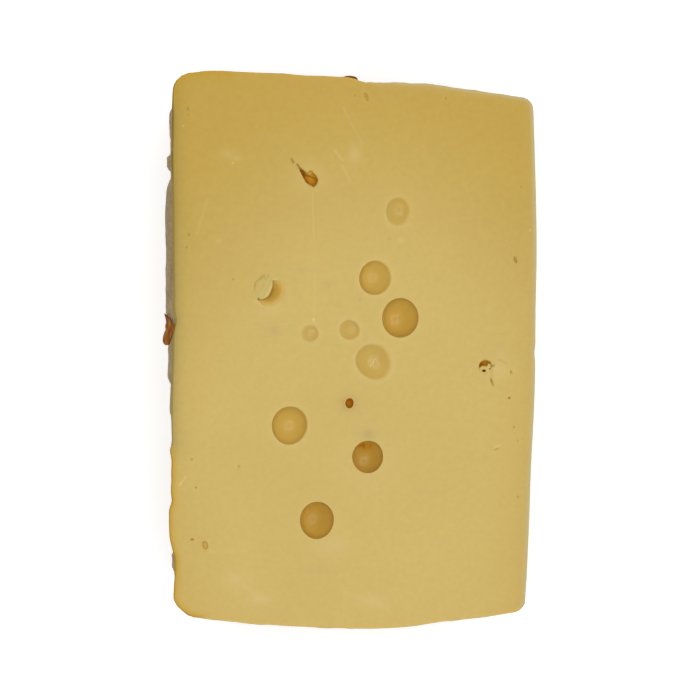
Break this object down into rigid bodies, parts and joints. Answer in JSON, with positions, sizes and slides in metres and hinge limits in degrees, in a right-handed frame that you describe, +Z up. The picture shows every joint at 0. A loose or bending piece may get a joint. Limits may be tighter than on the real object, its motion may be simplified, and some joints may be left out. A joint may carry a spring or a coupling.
{
  "type": "cheese wedge",
  "caption": "Thick slice of round-eyed mountain cheese with a lumpy rind on three sides, lying on its cut face as food to carve, serve or dress a board.",
  "frame": {"origin": "on the level base, under the middle of the slice's box", "axes": "+Z up from the base to the sloping upper cut face; +Y along the slice's length, which is the height of the wheel it came from; +X from the outer rind to the inner side"},
  "size_m": [0.0756, 0.1114, 0.0356],
  "materials": {
    "paste": "satin, slightly oily pale straw-yellow cheese with a grey-brown rind"
  },
  "bodies": {
    "root": {"cheese": "paste"}
  },
  "joints": []
}
